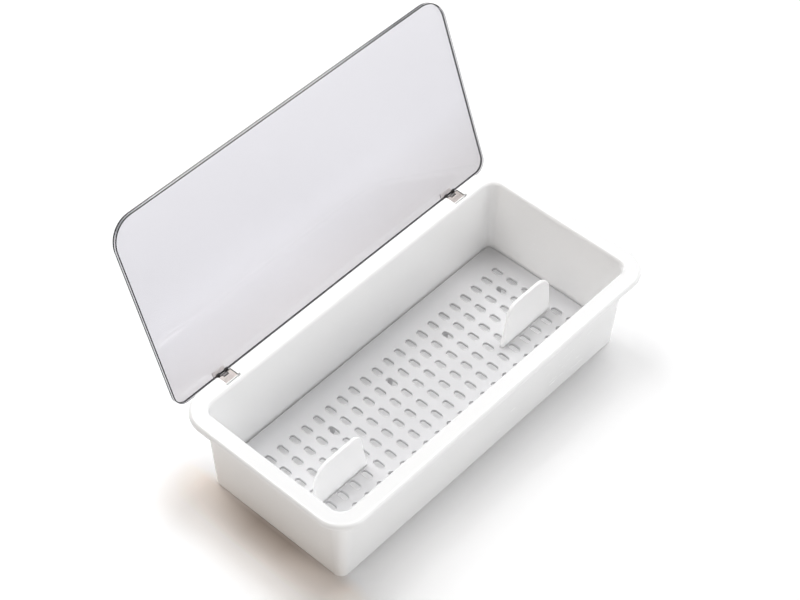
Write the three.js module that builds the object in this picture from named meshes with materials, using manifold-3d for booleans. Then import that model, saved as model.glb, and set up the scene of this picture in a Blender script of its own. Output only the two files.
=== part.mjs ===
// A table box for eating tools: a moulded tub, a lift-out drain tray with two fins,
// and a clear lid sheet on two small rolled clip hinges.
// Millimetres, +Z up, +X along the length, +Y towards the hinged back.
// The origin is the centre of the flat underside. The lid stands open against its stop.
import * as THREE from 'three';
import { mergeVertices } from 'three/addons/utils/BufferGeometryUtils.js';
import Module from 'manifold-3d';

const wasm = await Module();
wasm.setup();

// Tub: the mouth is measured between the inner walls at the level of the rim.
const mouthLength = 248;
const mouthWidth = 106.4;
const mouthCorner = 7.3;
const tubHeight = 67;
const wallThickness = 2.2;
const wallDraft = 4;
const floorThickness = 2.5;
const floorFillet = 3;
const footRound = 2;
const rimWidth = 11.2;
const rimThickness = 3.2;
const rimEdgeRound = 2.2;
const mouthRound = 2.5;
const lipDrop = 4.2;
const lipThickness = 1.8;
const lipChamfer = 0.3;
const rimRootRound = 1;

// Drain tray: a slotted plate on a skirt and short posts, with two upright fins.
const trayTop = 14;
const trayThickness = 2;
const traySkirtDepth = 2.4;
const traySkirtThickness = 1.8;
const trayWallGap = 0.8;
const traySeatGap = 0.3;
const slotPitch = 10.1;
const slotRowPitch = 12;
const slotWidth = 3.8;
const slotBar = 4.2;
const slotBorder = 7.7;
const postTopRadius = 1.9;
const postFootRadius = 1.5;
const postStride = 5;

// Fins: the outline in the plane of the fin, from its foot on the tray to its crown.
// They stand on the bar in front of the first row of slots.
const finFootInner = 59.8;
const finFootOuter = 105;
const finCrownInner = 66;
const finCrownOuter = 102;
const finHeight = 33;
const finInnerShoulder = 8;
const finOuterShoulder = 13;
const finRootThickness = 2.8;
const finCrownThickness = 2.2;
const finEdgeRound = 0.8;
const finFootFlare = 0.6;

// Lid sheet.
const lidLength = 264;
const lidDepth = 122.8;
const lidThickness = 3;
const lidFrontCorner = 16;
const lidBackCorner = 8;
const lidChamfer = 0.4;
const lidRimGap = 0.3;
const lidPastPin = 0.6;
const lidOpenAngle = THREE.MathUtils.degToRad(110.75);

// Hinges: rolled sheet metal round a pin, one half let into the rim, the other gripping the lid.
const hingeInset = 34.5;
const hingeWidth = 9;
const hingeSetback = 1.6;
const metal = 0.5;
const bendRadius = 0.3;
const pinRadius = 0.6;
const pinEndChamfer = 0.15;
const runningGap = 0.25;
const knuckleGap = 0.3;
const middleKnuckle = 3.2;
const clipGrip = 2.6;
const leafFront = 5.8;
const leafNotchGap = 0.3;
const tongueWidth = 5;
const clinchLength = 2.4;
const seatSideGap = 0.35;
const rollAngle = THREE.MathUtils.degToRad(280);

// One overrun serves every cut.
const cutOverrun = 5;

// Counts of facets.
const cornerSteps = 8;
const edgeSteps = 4;
const slotEndSteps = 4;
const finEndSteps = 3;
const shoulderSteps = 7;
const rollSteps = 18;
const bendSteps = 3;
const pinSides = 20;
const postSides = 8;

// Derived places.
const knuckleRadius = pinRadius + runningGap + metal;
const rollRadius = knuckleRadius - metal / 2;
const leafTop = tubHeight + lidRimGap - 2 * runningGap - metal;
const pinZ = leafTop - knuckleRadius;
const pinY = mouthWidth / 2 + rimWidth - hingeSetback;
const sheetUnderside = tubHeight + lidRimGap - pinZ;
const sideKnuckle = (hingeWidth - middleKnuckle) / 2 - knuckleGap;
const bend = bendRadius + metal / 2;
const hingePlace = lidLength / 2 - hingeInset;
const quarter = Math.PI / 2;

// Materials.
const finish = (color, roughness, metalness = 0, opacity = 1) =>
  new THREE.MeshStandardMaterial({ color, roughness, metalness, opacity, transparent: opacity < 1 });
const whiteGloss = () => finish(0xf3f3f1, 0.22);
const whiteTray = () => finish(0xececea, 0.35);
const clearSheet = () => finish(0xdfe3ea, 0.06, 0, 0.35);
const steel = () => finish(0xb9b7b2, 0.28, 1);

// Solids: three.js geometry to manifold and back.
function toSolid(geometry) {
  const bare = geometry.clone();
  bare.deleteAttribute('normal');
  bare.deleteAttribute('uv');
  const welded = mergeVertices(bare);
  return new wasm.Manifold(new wasm.Mesh({
    numProp: 3,
    vertProperties: welded.attributes.position.array,
    triVerts: new Uint32Array(welded.index.array),
  }));
}

function toGeometry(solid) {
  const mesh = solid.getMesh();
  const geometry = new THREE.BufferGeometry();
  geometry.setAttribute('position', new THREE.BufferAttribute(mesh.vertProperties, 3));
  geometry.setIndex(new THREE.BufferAttribute(mesh.triVerts, 1));
  geometry.computeVertexNormals();
  return geometry;
}

const joined = (solids) => solids.reduce((sum, solid) => sum.add(solid));

function block(x0, x1, y0, y1, z0, z1) {
  const geometry = new THREE.BoxGeometry(x1 - x0, y1 - y0, z1 - z0);
  geometry.translate((x0 + x1) / 2, (y0 + y1) / 2, (z0 + z1) / 2);
  return toSolid(geometry);
}

// A closed skin over a stack of convex rings that all have the same number of points.
function loft(rings) {
  const count = rings[0].length;
  const positions = rings.flat().flatMap((point) => point.toArray());
  const index = [];
  for (let ring = 0; ring + 1 < rings.length; ring += 1) {
    for (let k = 0; k < count; k += 1) {
      const a = ring * count + k;
      const b = ring * count + ((k + 1) % count);
      index.push(a, b, b + count, a, b + count, a + count);
    }
  }
  const last = (rings.length - 1) * count;
  for (let k = 1; k + 1 < count; k += 1) {
    index.push(0, k + 1, k, last, last + k, last + k + 1);
  }
  const geometry = new THREE.BufferGeometry();
  geometry.setAttribute('position', new THREE.Float32BufferAttribute(positions, 3));
  geometry.setIndex(index);
  return geometry;
}

// Points of an arc as [across, up] pairs, both ends included.
function arc(centreAcross, centreUp, radius, from, to, steps) {
  return Array.from({ length: steps + 1 }, (_, k) => {
    const angle = from + ((to - from) * k) / steps;
    return [centreAcross + radius * Math.cos(angle), centreUp + radius * Math.sin(angle)];
  });
}

// A rounded rectangle with its own radius at the front and at the back, counter-clockwise.
function roundedOutline(halfLength, front, back, frontCorner, backCorner, steps) {
  return [
    ...arc(halfLength - frontCorner, front + frontCorner, frontCorner, -quarter, 0, steps),
    ...arc(halfLength - backCorner, back - backCorner, backCorner, 0, quarter, steps),
    ...arc(backCorner - halfLength, back - backCorner, backCorner, quarter, 2 * quarter, steps),
    ...arc(frontCorner - halfLength, front + frontCorner, frontCorner, 2 * quarter, 3 * quarter, steps),
  ];
}

// The mouth's outline moved out by an offset: every level of the tub is one of these.
function mouthOutline(offset) {
  const halfWidth = mouthWidth / 2 + offset;
  const corner = mouthCorner + offset;
  return roundedOutline(mouthLength / 2 + offset, -halfWidth, halfWidth, corner, corner, cornerSteps);
}

// The draft draws the walls in towards the floor.
const innerOffset = (z) => -wallDraft * (1 - z / tubHeight);
const outerOffset = (z) => wallThickness + innerOffset(z);

// Tub: one profile of offset and height, from the underside over the rim to the inside floor.
function tubShell() {
  const flangeUnder = tubHeight - rimThickness;
  const rootZ = flangeUnder - rimRootRound;
  const lipInner = rimWidth - lipThickness;
  const lipZ = tubHeight - lipDrop;
  const mouthZ = tubHeight - mouthRound;
  const filletZ = floorThickness + floorFillet;
  const profile = [
    ...arc(outerOffset(footRound) - footRound, footRound, footRound, -quarter, 0, edgeSteps),
    ...arc(outerOffset(rootZ) + rimRootRound, rootZ, rimRootRound, 2 * quarter, quarter, edgeSteps),
    [lipInner, flangeUnder],
    [lipInner, lipZ],
    [rimWidth - lipChamfer, lipZ],
    [rimWidth, lipZ + lipChamfer],
    ...arc(rimWidth - rimEdgeRound, tubHeight - rimEdgeRound, rimEdgeRound, 0, quarter, edgeSteps),
    ...arc(innerOffset(mouthZ) + mouthRound, mouthZ, mouthRound, quarter, 2 * quarter, edgeSteps),
    ...arc(innerOffset(filletZ) - floorFillet, filletZ, floorFillet, 0, -quarter, edgeSteps),
  ];
  const rings = profile.map(([offset, z]) =>
    mouthOutline(offset).map(([x, y]) => new THREE.Vector3(x, y, z)));
  return toSolid(loft(rings));
}

// The seat of one hinge: a recess for the leaf, a notch for the knuckles, a slot for the tongue.
function hingeSeat(x) {
  const half = hingeWidth / 2 + seatSideGap;
  const outside = mouthWidth / 2 + rimWidth + cutOverrun;
  const above = tubHeight + cutOverrun;
  const below = tubHeight - lipDrop - cutOverrun;
  const frontY = pinY - leafFront;
  const recess = block(x - half, x + half, frontY - seatSideGap, outside, leafTop - metal - runningGap, above);
  const notchY = pinY - knuckleRadius - leafNotchGap;
  const notch = block(x - half, x + half, notchY, outside, below, above);
  const slotHalf = tongueWidth / 2 + runningGap;
  const slot = block(x - slotHalf, x + slotHalf, frontY - runningGap, frontY + metal + runningGap, below, above);
  return joined([recess, notch, slot]);
}

const sides = [['left', -hingePlace], ['right', hingePlace]];

function tub() {
  return toGeometry(tubShell().subtract(joined(sides.map(([, x]) => hingeSeat(x)))));
}

// Drain tray: its plan follows the tub's inner wall at the foot of the skirt.
const trayUnder = trayTop - trayThickness;
const skirtFoot = trayUnder - traySkirtDepth;
const trayOffset = innerOffset(skirtFoot) - trayWallGap;
const trayHalfLength = mouthLength / 2 + trayOffset;
const trayHalfWidth = mouthWidth / 2 + trayOffset;
const slotColumns = Math.floor((trayHalfLength - slotBorder) / slotPitch);
const slotRows = Math.floor((trayHalfWidth - slotBorder) / slotRowPitch);
const finLine = -slotRowPitch;

const toPath = (Kind, points) => new Kind(points.map(([x, y]) => new THREE.Vector2(x, y)));

function extruded(shape, low, high) {
  const geometry = new THREE.ExtrudeGeometry(shape, { depth: high - low, bevelEnabled: false });
  geometry.translate(0, 0, low);
  return toSolid(geometry);
}

// A slot across the tray with round ends.
function slotPath(x, low, high) {
  const end = slotWidth / 2;
  return toPath(THREE.Path, [
    ...arc(x, low + end, end, 2 * quarter, 4 * quarter, slotEndSteps),
    ...arc(x, high - end, end, 0, 2 * quarter, slotEndSteps),
  ]);
}

// Slots in columns and rows on both sides of the middle, with a bar along the middle line.
function traySlots() {
  const slots = [];
  for (let row = -slotRows; row < slotRows; row += 1) {
    const low = row * slotRowPitch + slotBar / 2;
    const high = (row + 1) * slotRowPitch - slotBar / 2;
    for (let column = -slotColumns; column < slotColumns; column += 1) {
      slots.push(slotPath((column + 1 / 2) * slotPitch, low, high));
    }
  }
  return slots;
}

// Posts under the crossings of the outer bars.
function trayPosts() {
  const top = trayTop - trayThickness / 2;
  const foot = floorThickness + traySeatGap;
  const barY = (slotRows - 1) * slotRowPitch;
  const along = Math.floor(slotColumns / postStride);
  const posts = [];
  for (let k = -along; k <= along; k += 1) {
    for (const y of [-barY, barY]) {
      const geometry = new THREE.CylinderGeometry(postTopRadius, postFootRadius, top - foot, postSides);
      geometry.rotateX(quarter);
      geometry.translate(k * postStride * slotPitch, y, (top + foot) / 2);
      posts.push(toSolid(geometry));
    }
  }
  return posts;
}

// One end of a fin's level: a straight side up to a round shoulder, worked out at height z.
function finReach(z, foot, crown, shoulder, outward) {
  const length = Math.hypot(crown - foot, finHeight);
  const lean = (outward * (crown - foot)) / length;
  const rise = finHeight / length;
  const centreZ = trayTop + finHeight - shoulder;
  if (z < centreZ - shoulder * lean) return foot + ((z - trayTop) * (crown - foot)) / finHeight;
  const centre = foot - (outward * (shoulder - (centreZ - trayTop) * lean)) / rise;
  return centre + outward * Math.sqrt(Math.max(0, shoulder ** 2 - (z - centreZ) ** 2));
}

// Half the thickness of a fin at height z: flared at the foot, drafted, round along the crown.
function finHalf(z) {
  const up = (z - trayTop) / finHeight;
  const drafted = (finRootThickness + (finCrownThickness - finRootThickness) * up) / 2;
  const overFlare = Math.max(0, finFootFlare - (z - trayTop));
  const flare = finFootFlare - Math.sqrt(Math.max(0, finFootFlare ** 2 - overFlare ** 2));
  const overEdge = Math.max(0, z - (trayTop + finHeight - finEdgeRound));
  const edge = finEdgeRound - Math.sqrt(Math.max(0, finEdgeRound ** 2 - overEdge ** 2));
  return drafted + flare - edge;
}

// A fin is a stack of round-ended levels, close together at the foot and round the crown.
function fin(side) {
  const crown = trayTop + finHeight;
  const levels = [trayUnder + trayThickness / 2];
  for (let k = 0; k <= bendSteps; k += 1) {
    levels.push(trayTop + finFootFlare * (1 - Math.cos((quarter * k) / bendSteps)));
  }
  for (let k = 0; k < shoulderSteps; k += 1) {
    levels.push(crown - finOuterShoulder * (1 - Math.sin((quarter * k) / shoulderSteps)));
  }
  for (let k = 0; k <= bendSteps; k += 1) {
    levels.push(crown - finEdgeRound * (1 - Math.sin((quarter * k) / bendSteps)));
  }
  const rings = [...new Set(levels)].sort((a, b) => a - b).map((z) => {
    const level = Math.max(z, trayTop);
    const half = finHalf(level);
    const inner = finReach(level, finFootInner, finCrownInner, finInnerShoulder, -1);
    const outer = finReach(level, finFootOuter, finCrownOuter, finOuterShoulder, 1);
    const low = side > 0 ? inner : -outer;
    const high = side > 0 ? outer : -inner;
    return [
      ...arc(high - half, finLine, half, -quarter, quarter, finEndSteps),
      ...arc(low + half, finLine, half, quarter, 3 * quarter, finEndSteps),
    ].map(([x, y]) => new THREE.Vector3(x, y, z));
  });
  return toSolid(loft(rings));
}

function drainTray() {
  const plate = toPath(THREE.Shape, mouthOutline(trayOffset));
  plate.holes.push(...traySlots());
  const skirt = toPath(THREE.Shape, mouthOutline(trayOffset));
  skirt.holes.push(toPath(THREE.Path, mouthOutline(trayOffset - traySkirtThickness)));
  const solids = [
    extruded(plate, trayUnder, trayTop),
    extruded(skirt, skirtFoot, trayUnder + trayThickness / 2),
    ...trayPosts(),
    fin(-1),
    fin(1),
  ];
  return toGeometry(joined(solids));
}

// The lid and its clips are drawn closed, about the pin, and turned open by their group.
function lidSheet() {
  const back = lidPastPin;
  const outline = roundedOutline(
    lidLength / 2, back - lidDepth, back, lidFrontCorner, lidBackCorner, cornerSteps);
  const geometry = new THREE.ExtrudeGeometry(toPath(THREE.Shape, outline), {
    depth: lidThickness - 2 * lidChamfer,
    bevelThickness: lidChamfer,
    bevelSize: lidChamfer,
    bevelOffset: -lidChamfer,
    bevelSegments: 1,
  });
  geometry.translate(0, 0, sheetUnderside + lidChamfer);
  return toGeometry(toSolid(geometry));
}

// The middle line of a bent strip in the plane across the hinge: runs and right-hand bends.
class StripPath {
  constructor(across, up, heading) {
    this.at = new THREE.Vector2(across, up);
    this.heading = heading;
    this.points = [this.at.clone()];
    this.normals = [this.normal()];
  }

  normal() {
    return new THREE.Vector2(-Math.sin(this.heading), Math.cos(this.heading));
  }

  keep() {
    this.points.push(this.at.clone());
    this.normals.push(this.normal());
  }

  run(length) {
    this.at.x += length * Math.cos(this.heading);
    this.at.y += length * Math.sin(this.heading);
    this.keep();
    return this;
  }

  bendRight(radius, angle, steps) {
    const centre = this.at.clone().addScaledVector(this.normal(), -radius);
    for (let k = 0; k < steps; k += 1) {
      this.heading -= angle / steps;
      this.at.copy(centre).addScaledVector(this.normal(), radius);
      this.keep();
    }
    return this;
  }

  // The strip's section, extruded along X between two places.
  solid(x0, x1) {
    const half = metal / 2;
    const beside = (reach) => this.points.map((p, k) => p.clone().addScaledVector(this.normals[k], reach));
    const shape = new THREE.Shape([...beside(half), ...beside(-half).reverse()]);
    const geometry = new THREE.ExtrudeGeometry(shape, { depth: x1 - x0, bevelEnabled: false });
    const acrossX = new THREE.Matrix4().makeBasis(
      new THREE.Vector3(0, 1, 0), new THREE.Vector3(0, 0, 1), new THREE.Vector3(1, 0, 0));
    geometry.applyMatrix4(acrossX);
    geometry.translate(x0, 0, 0);
    return toSolid(geometry);
  }
}

const outerPlaces = [
  [-hingeWidth / 2, sideKnuckle - hingeWidth / 2],
  [hingeWidth / 2 - sideKnuckle, hingeWidth / 2],
];
const middlePlace = [-middleKnuckle / 2, middleKnuckle / 2];
const wholePlace = [-hingeWidth / 2, hingeWidth / 2];
const toTheBack = 0;
const toTheFront = 2 * quarter;

// The clip's levels about the pin: grips under and over the sheet, and the web behind it.
const lowerGripUp = sheetUnderside - runningGap - metal / 2;
const upperGripUp = sheetUnderside + lidThickness + runningGap + metal / 2;
const webAcross = lidPastPin + runningGap + metal / 2;
const gripRun = clipGrip + webAcross - bend;

// Clip: it grips the edge of the sheet, and its middle tab rolls round the pin.
function hingeClip() {
  const over = () => new StripPath(-clipGrip, upperGripUp, toTheBack)
    .run(gripRun).bendRight(bend, quarter, bendSteps);
  const webRun = upperGripUp - lowerGripUp - 2 * bend;
  const grips = over().run(webRun).bendRight(bend, quarter, bendSteps).run(gripRun);
  const tab = over().run(upperGripUp - bend).bendRight(rollRadius, rollAngle, rollSteps);
  return toGeometry(joined([
    over().run(webRun).solid(...wholePlace),
    ...outerPlaces.map((place) => grips.solid(...place)),
    tab.solid(...middlePlace),
  ]));
}

// Rim leaf: flat in its recess, rolled round the pin at both sides, with a tongue through the
// rim that is clinched under it.
function rimLeaf() {
  const up = knuckleRadius - metal / 2;
  const clinchUp = tubHeight - rimThickness - runningGap - metal / 2 - pinZ;
  const tongueAcross = metal / 2 - leafFront;
  const notched = leafFront - knuckleRadius - leafNotchGap;
  const plate = new StripPath(-leafFront, up, toTheBack).run(notched);
  const knuckle = new StripPath(-leafFront, up, toTheBack)
    .run(leafFront).bendRight(rollRadius, rollAngle, rollSteps);
  const tongue = new StripPath(tongueAcross + clinchLength, clinchUp, toTheFront)
    .run(clinchLength - bend).bendRight(bend, quarter, bendSteps)
    .run(up - clinchUp - 2 * bend).bendRight(bend, quarter, bendSteps)
    .run(notched - metal / 2 - bend);
  return toGeometry(joined([
    plate.solid(...wholePlace),
    ...outerPlaces.map((place) => knuckle.solid(...place)),
    tongue.solid(-tongueWidth / 2, tongueWidth / 2),
  ]));
}

function hingePin() {
  const half = hingeWidth / 2;
  const profile = [
    [0, -half],
    [pinRadius - pinEndChamfer, -half],
    [pinRadius, pinEndChamfer - half],
    [pinRadius, half - pinEndChamfer],
    [pinRadius - pinEndChamfer, half],
    [0, half],
  ].map(([radius, along]) => new THREE.Vector2(radius, along));
  const geometry = new THREE.LatheGeometry(profile, pinSides);
  geometry.rotateZ(-quarter);
  return toGeometry(toSolid(geometry));
}

// The scene graph.
function named(name, geometry, material) {
  const mesh = new THREE.Mesh(geometry, material);
  mesh.name = name;
  return mesh;
}

const cutleryBox = new THREE.Group();
cutleryBox.name = 'cutlery_box';
cutleryBox.add(named('tub', tub(), whiteGloss()));
cutleryBox.add(named('drain_tray', drainTray(), whiteTray()));

const hingeLine = new THREE.Group();
hingeLine.position.set(0, pinY, pinZ);
cutleryBox.add(hingeLine);

const lid = new THREE.Group();
lid.rotation.x = -lidOpenAngle;
lid.add(named('lid_sheet', lidSheet(), clearSheet()));
hingeLine.add(lid);

for (const [side, x] of sides) {
  const leaf = named(`rim_leaf_${side}`, rimLeaf(), steel());
  const pin = named(`hinge_pin_${side}`, hingePin(), steel());
  const clip = named(`hinge_clip_${side}`, hingeClip(), steel());
  leaf.position.x = x;
  pin.position.x = x;
  clip.position.x = x;
  hingeLine.add(leaf, pin);
  lid.add(clip);
}

export default cutleryBox;
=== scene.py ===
"""Looks of a moulded white table box with a slotted drain tray and a clear hinged lid.

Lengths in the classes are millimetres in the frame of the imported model: +X along the box,
+Y towards the hinged back, +Z up, origin at the centre of the underside. They become metres
when a mesh is made. The lid is drawn closed and then stood open about its hinge pins.
"""

import logging
import math
from collections.abc import Callable
from dataclasses import dataclass, field, replace
from enum import Enum

import bmesh
import bpy
import numpy as np
from bpy.types import Material, Mesh, MeshPolygon, Node, NodeOutputs, NodeSocket, NodeTree, Object
from mathutils import Matrix, Vector


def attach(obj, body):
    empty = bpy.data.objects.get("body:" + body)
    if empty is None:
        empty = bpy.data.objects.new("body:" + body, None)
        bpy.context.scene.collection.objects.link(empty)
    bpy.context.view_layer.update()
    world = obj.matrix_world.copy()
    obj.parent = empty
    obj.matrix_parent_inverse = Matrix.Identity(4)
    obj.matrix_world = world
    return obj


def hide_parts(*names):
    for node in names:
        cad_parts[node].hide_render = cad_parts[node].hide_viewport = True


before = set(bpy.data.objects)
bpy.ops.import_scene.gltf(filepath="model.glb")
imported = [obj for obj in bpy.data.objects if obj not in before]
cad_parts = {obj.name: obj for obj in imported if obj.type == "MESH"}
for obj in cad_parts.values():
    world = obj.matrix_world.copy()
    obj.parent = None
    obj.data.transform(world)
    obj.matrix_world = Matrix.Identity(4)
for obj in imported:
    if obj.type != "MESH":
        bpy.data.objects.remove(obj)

LOG = logging.getLogger("table_box")
METRES = 0.001
QUARTER = math.pi / 2
CREASE = math.radians(32)
Rgb = tuple[float, float, float]


class Body(Enum):
    """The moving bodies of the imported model."""

    BOX = "box"
    LID = "lid"
    TRAY = "tray"


class Solid(Enum):
    """How one closed mesh is worked into another."""

    JOIN = "UNION"
    CUT = "DIFFERENCE"


class Side(Enum):
    """The two hinges, by the sign of their place along X."""

    LEFT = -1
    RIGHT = 1


class Axis(Enum):
    """The axes of the floor."""

    X = "X"
    Y = "Y"


# Surfaces as arrays


@dataclass
class Surface:
    """Points of a mesh in millimetres and the faces between them."""

    points: np.ndarray
    faces: list[list[int]]

    def moved(self, x: float = 0.0, y: float = 0.0, z: float = 0.0) -> "Surface":
        """The same surface, shifted."""
        return Surface(self.points + np.array([x, y, z]), self.faces)

    def turned_about_x(self, angle: float) -> "Surface":
        """The same surface turned about the X axis: y' = y cos - z sin, z' = y sin + z cos.

        Args:
            angle: the angle in radians.

        Returns:
            The turned surface.
        """
        cos, sin = math.cos(angle), math.sin(angle)
        turn = np.array([[1.0, 0.0, 0.0], [0.0, cos, -sin], [0.0, sin, cos]])
        return Surface(self.points @ turn.T, self.faces)


def skin(rings: np.ndarray, capped: bool = True) -> Surface:
    """Closed skin over a stack of rings, each a loop of points.

    Point k of ring i joins point k + 1 of the same ring and both points k of ring i + 1.

    Args:
        rings: array of rings, points and coordinates, turning left as seen from the last ring.
        capped: whether the first and the last ring are closed by a flat face.

    Returns:
        The surface, facing out.
    """
    levels, around = rings.shape[:2]
    index = np.arange(levels * around).reshape(levels, around)
    beside = np.roll(index, -1, axis=1)
    quads = np.stack([index[:-1], beside[:-1], beside[1:], index[1:]], axis=-1).reshape(-1, 4)
    faces = quads.tolist()
    if capped:
        faces += [index[0, ::-1].tolist(), index[-1].tolist()]
    return Surface(rings.reshape(-1, 3), faces)


def arc(across: float, up: float, radius: float, start: float, stop: float, steps: int) -> np.ndarray:
    """Points of an arc: centre + radius times (cos t, sin t), with t from start to stop.

    Args:
        across: first coordinate of the centre.
        up: second coordinate of the centre.
        radius: radius of the arc.
        start: first angle in radians.
        stop: last angle in radians.
        steps: number of chords.

    Returns:
        Array of steps + 1 points.
    """
    angle = np.linspace(start, stop, steps + 1)
    return np.array([across, up]) + radius * np.stack([np.cos(angle), np.sin(angle)], axis=-1)


def corner_loop(
    half_length: float, front: float, back: float, front_corner: float, back_corner: float, steps: int
) -> tuple[np.ndarray, np.ndarray, np.ndarray]:
    """Corner centres, corner radii and directions of a rounded rectangle's outline.

    A point of the outline is its corner's centre + (radius + offset) * direction, so one loop
    gives every parallel outline.

    Args:
        half_length: half the size along X.
        front: lowest Y.
        back: highest Y.
        front_corner: radius of the two corners at the front.
        back_corner: radius of the two corners at the back.
        steps: chords in each corner.

    Returns:
        Centres (n, 2), radii (n, 1) and directions (n, 2), turning left.
    """
    radius = np.array([front_corner, back_corner, back_corner, front_corner])
    sign = np.array([1.0, 1.0, -1.0, -1.0])
    level = np.array([front + front_corner, back - back_corner, back - back_corner, front + front_corner])
    centre = np.stack([sign * (half_length - radius), level], axis=-1)
    start = (np.arange(4) - 1) * QUARTER
    angle = start[:, None] + np.linspace(0.0, QUARTER, steps + 1)
    direction = np.stack([np.cos(angle), np.sin(angle)], axis=-1).reshape(-1, 2)
    return np.repeat(centre, steps + 1, axis=0), np.repeat(radius, steps + 1)[:, None], direction


def offset_rings(
    loop: tuple[np.ndarray, np.ndarray, np.ndarray], profile: np.ndarray
) -> np.ndarray:
    """Parallel outlines stacked along a profile of offsets and heights.

    Ring i is centre + (radius + offset i) * direction, at height i.

    Args:
        loop: what corner_loop returns.
        profile: array of (offset, height).

    Returns:
        Array of rings for skin().
    """
    centre, radius, direction = loop
    plan = centre + (radius + profile[:, None, :1]) * direction
    height = np.broadcast_to(profile[:, None, 1:], plan.shape[:2] + (1,))
    return np.concatenate([plan, height], axis=-1)


def circle(steps: int) -> tuple[np.ndarray, float, np.ndarray]:
    """A loop for offset_rings() that makes circles about the middle, turning left."""
    turn = np.linspace(0.0, 4 * QUARTER, steps, endpoint=False)
    return np.zeros(2), 0.0, np.stack([np.cos(turn), np.sin(turn)], axis=-1)


def at_height(plan: np.ndarray, z: float) -> np.ndarray:
    """The points of a plan at a height."""
    return np.concatenate([plan, np.full(plan.shape[:-1] + (1,), z)], axis=-1)


def prism(plan: np.ndarray, low: float, high: float) -> Surface:
    """An upright block over a plan that turns left, used only as a cutting tool."""
    return skin(np.stack([at_height(plan, low), at_height(plan, high)]))


def slab(half: float, front: float, back: float, low: float, high: float) -> Surface:
    """A plain block from -half to half along X, used only as a cutting tool."""
    return prism(np.array([[-half, front], [half, front], [half, back], [-half, back]]), low, high)


# Blender objects


def mesh_object(name: str, surfaces: list[Surface]) -> Object:
    """Puts surfaces into one smooth-shaded mesh object at the origin.

    Args:
        name: name of the object.
        surfaces: surfaces in millimetres.

    Returns:
        The linked object, in metres.
    """
    counts = np.cumsum([0] + [len(surface.points) for surface in surfaces])
    points = np.concatenate([surface.points for surface in surfaces]) * METRES
    faces = [
        [corner + int(base) for corner in face]
        for surface, base in zip(surfaces, counts)
        for face in surface.faces
    ]
    mesh = bpy.data.meshes.new(name)
    mesh.from_pydata(points.tolist(), [], faces)
    made = bpy.data.objects.new(name, mesh)
    bpy.context.scene.collection.objects.link(made)
    finish_mesh(mesh)
    return made


def finish_mesh(mesh: Mesh) -> None:
    """Merges doubled points, drops empty faces and marks the edges past CREASE as sharp.

    Args:
        mesh: the mesh to finish.
    """
    work = bmesh.new()
    work.from_mesh(mesh)
    merge_reach = 1e-7
    bmesh.ops.remove_doubles(work, verts=work.verts, dist=merge_reach)
    bmesh.ops.dissolve_degenerate(work, edges=work.edges, dist=merge_reach)
    work.to_mesh(mesh)
    work.free()
    mesh.shade_smooth()
    mesh.set_sharp_from_angle(angle=CREASE)
    mesh.update()


def work_in(target: Object, tools: list[Object], how: Solid) -> None:
    """Joins closed meshes to a piece or cuts them out of it, and removes them.

    Args:
        target: the piece that changes.
        tools: the closed meshes.
        how: whether they are joined or cut.
    """
    for tool in tools:
        step = target.modifiers.new("work", "BOOLEAN")
        step.operation = how.value
        step.solver = "EXACT"
        step.object = tool
    shown = target.evaluated_get(bpy.context.evaluated_depsgraph_get())
    worked = bpy.data.meshes.new_from_object(shown)
    target.modifiers.clear()
    target.data = worked
    for tool in tools:
        bpy.data.objects.remove(tool)
    finish_mesh(worked)


def settle(piece: Object, body: Body, slot: str, nodes: list[str]) -> None:
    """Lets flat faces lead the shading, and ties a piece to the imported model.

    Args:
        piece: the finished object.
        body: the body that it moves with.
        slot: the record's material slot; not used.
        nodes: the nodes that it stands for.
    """
    shading = piece.modifiers.new("flat_faces_lead", "WEIGHTED_NORMAL")
    shading.keep_sharp = True
    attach(piece, body.value)
    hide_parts(*nodes)
    count = sum(len(face.vertices) - 2 for face in piece.data.polygons)
    LOG.info("%s: %d triangles before its modifiers, rides on %s", piece.name, count, body.value)


# Shader building


def feed(socket: NodeSocket, value: object) -> None:
    """Joins an output to an input, or sets a plain value or a colour without its alpha.

    Args:
        socket: the input.
        value: the output, value or colour.
    """
    if isinstance(value, NodeSocket):
        socket.id_data.links.new(value, socket)
    else:
        socket.default_value = (*value, 1.0) if socket.type == "RGBA" else value


def put(node: Node, **values: object) -> Node:
    """Sets a node's properties or, where it has no such property, feeds its inputs.

    Args:
        node: the node.
        values: properties and inputs, with _ for a space in an input's name.

    Returns:
        The node.
    """
    for key, value in values.items():
        if hasattr(node, key):
            setattr(node, key, value)
        else:
            feed(node.inputs[key.replace("_", " ")], value)
    return node


def metres(lengths: tuple[float, ...]) -> tuple[float, ...]:
    """Lengths in millimetres as metres."""
    return tuple(length * METRES for length in lengths)


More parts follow.
